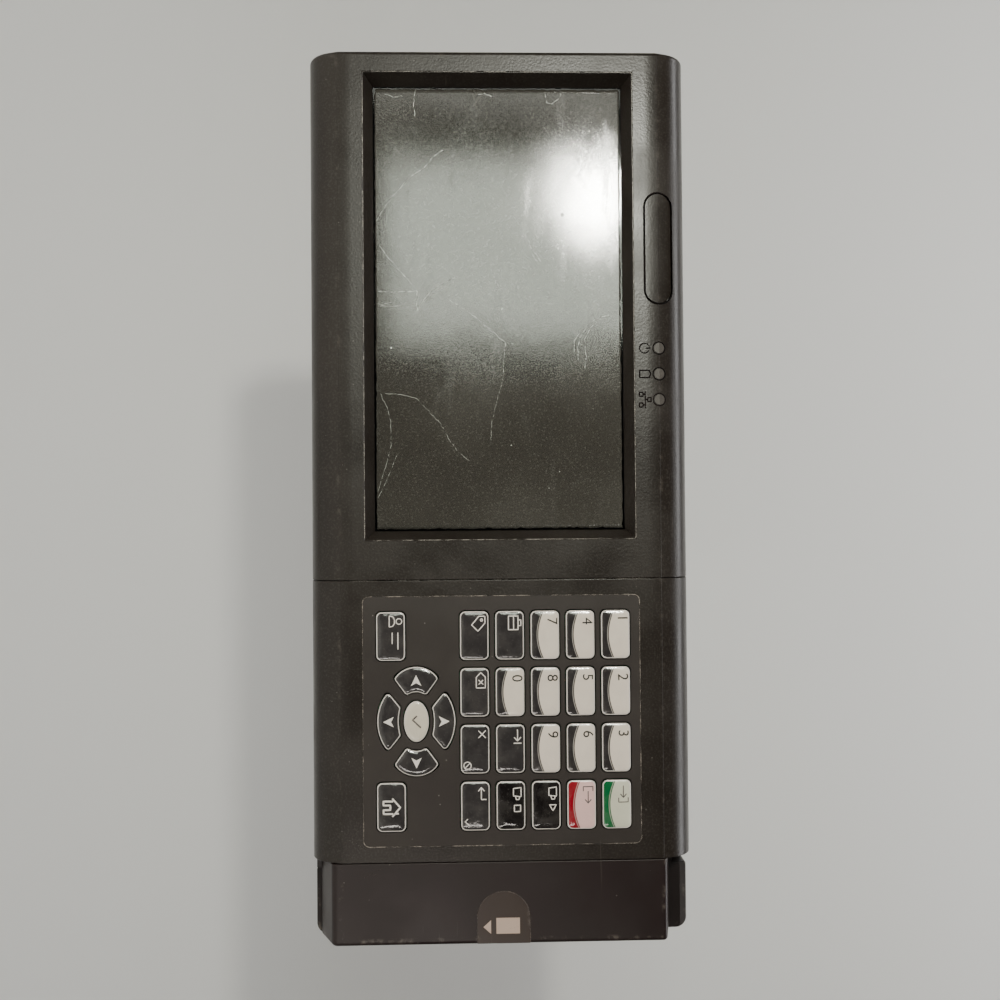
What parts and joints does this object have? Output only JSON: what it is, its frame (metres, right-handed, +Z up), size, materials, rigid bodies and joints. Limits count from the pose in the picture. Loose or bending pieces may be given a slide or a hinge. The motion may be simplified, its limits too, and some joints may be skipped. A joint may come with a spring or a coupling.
{
  "type": "wall terminal",
  "caption": "Wall-hung terminal with a touch screen in a sloped frame, a keypad of domed keys and a card-swipe slot at its right end.",
  "frame": {"origin": "centre of the wall plate's back face, on the wall", "axes": "+Y into the wall, so the front faces -Y; +Z up; +X to the right of someone facing the terminal"},
  "size_m": [0.317, 0.0613, 0.136],
  "materials": {
    "housing": "fine textured ABS",
    "cap": "smoother moulded plastic",
    "guide": "smooth moulded plastic",
    "label": "satin label with printed card symbol",
    "lens": "clear light pipe",
    "glass": "touch glass",
    "film": "worn clear polyester film",
    "foam": "black foam",
    "display": "display module, switched off",
    "sheet_metal": "zinc-plated sheet",
    "overlay": "textured polyester overlay",
    "circuit_board": "solder-masked laminate",
    "steel_dome": "snap dome",
    "chip": "moulded package",
    "jack_metal": "plated shell",
    "jack_plastic": "moulded",
    "battery": "shrink-wrapped cells",
    "ribbon": "flat flexible cable",
    "steel": "zinc-plated",
    "head_metal": "polished",
    "plate_paint": "black powder coat",
    "key_dark": "glossy dark grey with pale outline",
    "key_light": "glossy off-white field",
    "key_green": "glossy green band",
    "key_red": "glossy red band",
    "key_black": "glossy black"
  },
  "bodies": {
    "terminal": {"display_bezel": "housing", "keypad_bezel": "housing", "reader_cover": "cap", "slot_plate": "cap", "card_guide": "guide", "rear_housing": "housing", "option_cover": "housing", "swipe_label": "label", "led_lenses": "lens", "touch_glass": "glass", "screen_film": "film", "display_gasket": "foam", "lcd_panel": "display", "lcd_bracket": "sheet_metal", "keypad_overlay": "overlay", "keypad_board": "circuit_board", "keypad_domes": "steel_dome", "led_board": "circuit_board", "main_board": "circuit_board", "board_parts": "chip", "ethernet_jack": "jack_metal", "usb_port": "jack_metal", "power_jack": "jack_plastic", "battery_pack": "battery", "ribbons": "ribbon", "reader_board": "circuit_board", "head_pivot_pin": "steel", "wall_plate": "plate_paint", "lock_screw": "steel", "m3_screws": "steel"},
    "head_carrier": {"head_arm": "steel", "read_head": "head_metal", "head_spring": "steel"},
    "key_0_body": {"key_0": "key_light"},
    "key_1_body": {"key_1": "key_light"},
    "key_2_body": {"key_2": "key_light"},
    "key_3_body": {"key_3": "key_light"},
    "key_4_body": {"key_4": "key_light"},
    "key_5_body": {"key_5": "key_light"},
    "key_6_body": {"key_6": "key_light"},
    "key_7_body": {"key_7": "key_light"},
    "key_8_body": {"key_8": "key_light"},
    "key_9_body": {"key_9": "key_light"},
    "key_clock_in_body": {"key_clock_in": "key_green"},
    "key_clock_out_body": {"key_clock_out": "key_red"},
    "key_break_start_body": {"key_break_start": "key_black"},
    "key_break_end_body": {"key_break_end": "key_black"},
    "key_job_body": {"key_job": "key_dark"},
    "key_cost_body": {"key_cost": "key_dark"},
    "key_tab_body": {"key_tab": "key_dark"},
    "key_backspace_body": {"key_backspace": "key_dark"},
    "key_escape_body": {"key_escape": "key_dark"},
    "key_enter_body": {"key_enter": "key_dark"},
    "key_self_service_body": {"key_self_service": "key_dark"},
    "key_home_body": {"key_home": "key_dark"},
    "key_up_body": {"key_up": "key_dark"},
    "key_down_body": {"key_down": "key_dark"},
    "key_left_body": {"key_left": "key_dark"},
    "key_right_body": {"key_right": "key_dark"},
    "key_select_body": {"key_select": "key_light"}
  },
  "joints": [
    {"name": "key_0_press", "type": "slide", "parent": "terminal", "child": "key_0_body", "axis": [0, 1, 0], "range_m": [0, 0.0005], "stiffness_N_per_m": 1000},
    {"name": "key_1_press", "type": "slide", "parent": "terminal", "child": "key_1_body", "axis": [0, 1, 0], "range_m": [0, 0.0005], "stiffness_N_per_m": 1000},
    {"name": "key_2_press", "type": "slide", "parent": "terminal", "child": "key_2_body", "axis": [0, 1, 0], "range_m": [0, 0.0005], "stiffness_N_per_m": 1000},
    {"name": "key_3_press", "type": "slide", "parent": "terminal", "child": "key_3_body", "axis": [0, 1, 0], "range_m": [0, 0.0005], "stiffness_N_per_m": 1000},
    {"name": "key_4_press", "type": "slide", "parent": "terminal", "child": "key_4_body", "axis": [0, 1, 0], "range_m": [0, 0.0005], "stiffness_N_per_m": 1000},
    {"name": "key_5_press", "type": "slide", "parent": "terminal", "child": "key_5_body", "axis": [0, 1, 0], "range_m": [0, 0.0005], "stiffness_N_per_m": 1000},
    {"name": "key_6_press", "type": "slide", "parent": "terminal", "child": "key_6_body", "axis": [0, 1, 0], "range_m": [0, 0.0005], "stiffness_N_per_m": 1000},
    {"name": "key_7_press", "type": "slide", "parent": "terminal", "child": "key_7_body", "axis": [0, 1, 0], "range_m": [0, 0.0005], "stiffness_N_per_m": 1000},
    {"name": "key_8_press", "type": "slide", "parent": "terminal", "child": "key_8_body", "axis": [0, 1, 0], "range_m": [0, 0.0005], "stiffness_N_per_m": 1000},
    {"name": "key_9_press", "type": "slide", "parent": "terminal", "child": "key_9_body", "axis": [0, 1, 0], "range_m": [0, 0.0005], "stiffness_N_per_m": 1000},
    {"name": "key_clock_in_press", "type": "slide", "parent": "terminal", "child": "key_clock_in_body", "axis": [0, 1, 0], "range_m": [0, 0.0005], "stiffness_N_per_m": 1000},
    {"name": "key_clock_out_press", "type": "slide", "parent": "terminal", "child": "key_clock_out_body", "axis": [0, 1, 0], "range_m": [0, 0.0005], "stiffness_N_per_m": 1000},
    {"name": "key_break_start_press", "type": "slide", "parent": "terminal", "child": "key_break_start_body", "axis": [0, 1, 0], "range_m": [0, 0.0005], "stiffness_N_per_m": 1000},
    {"name": "key_break_end_press", "type": "slide", "parent": "terminal", "child": "key_break_end_body", "axis": [0, 1, 0], "range_m": [0, 0.0005], "stiffness_N_per_m": 1000},
    {"name": "key_job_press", "type": "slide", "parent": "terminal", "child": "key_job_body", "axis": [0, 1, 0], "range_m": [0, 0.0005], "stiffness_N_per_m": 1000},
    {"name": "key_cost_press", "type": "slide", "parent": "terminal", "child": "key_cost_body", "axis": [0, 1, 0], "range_m": [0, 0.0005], "stiffness_N_per_m": 1000},
    {"name": "key_tab_press", "type": "slide", "parent": "terminal", "child": "key_tab_body", "axis": [0, 1, 0], "range_m": [0, 0.0005], "stiffness_N_per_m": 1000},
    {"name": "key_backspace_press", "type": "slide", "parent": "terminal", "child": "key_backspace_body", "axis": [0, 1, 0], "range_m": [0, 0.0005], "stiffness_N_per_m": 1000},
    {"name": "key_escape_press", "type": "slide", "parent": "terminal", "child": "key_escape_body", "axis": [0, 1, 0], "range_m": [0, 0.0005], "stiffness_N_per_m": 1000},
    {"name": "key_enter_press", "type": "slide", "parent": "terminal", "child": "key_enter_body", "axis": [0, 1, 0], "range_m": [0, 0.0005], "stiffness_N_per_m": 1000},
    {"name": "key_self_service_press", "type": "slide", "parent": "terminal", "child": "key_self_service_body", "axis": [0, 1, 0], "range_m": [0, 0.0005], "stiffness_N_per_m": 1000},
    {"name": "key_home_press", "type": "slide", "parent": "terminal", "child": "key_home_body", "axis": [0, 1, 0], "range_m": [0, 0.0005], "stiffness_N_per_m": 1000},
    {"name": "key_up_press", "type": "slide", "parent": "terminal", "child": "key_up_body", "axis": [0, 1, 0], "range_m": [0, 0.0005], "stiffness_N_per_m": 1000},
    {"name": "key_down_press", "type": "slide", "parent": "terminal", "child": "key_down_body", "axis": [0, 1, 0], "range_m": [0, 0.0005], "stiffness_N_per_m": 1000},
    {"name": "key_left_press", "type": "slide", "parent": "terminal", "child": "key_left_body", "axis": [0, 1, 0], "range_m": [0, 0.0005], "stiffness_N_per_m": 1000},
    {"name": "key_right_press", "type": "slide", "parent": "terminal", "child": "key_right_body", "axis": [0, 1, 0], "range_m": [0, 0.0005], "stiffness_N_per_m": 1000},
    {"name": "key_select_press", "type": "slide", "parent": "terminal", "child": "key_select_body", "axis": [0, 1, 0], "range_m": [0, 0.0005], "stiffness_N_per_m": 1000},
    {"name": "read_head_float", "type": "hinge", "parent": "terminal", "child": "head_carrier", "pos_m": [0.144, -0.052, 0.016], "axis": [-1, 0, 0], "range_deg": [0, 3.2], "stiffness_Nm_per_rad": 0.3}
  ]
}
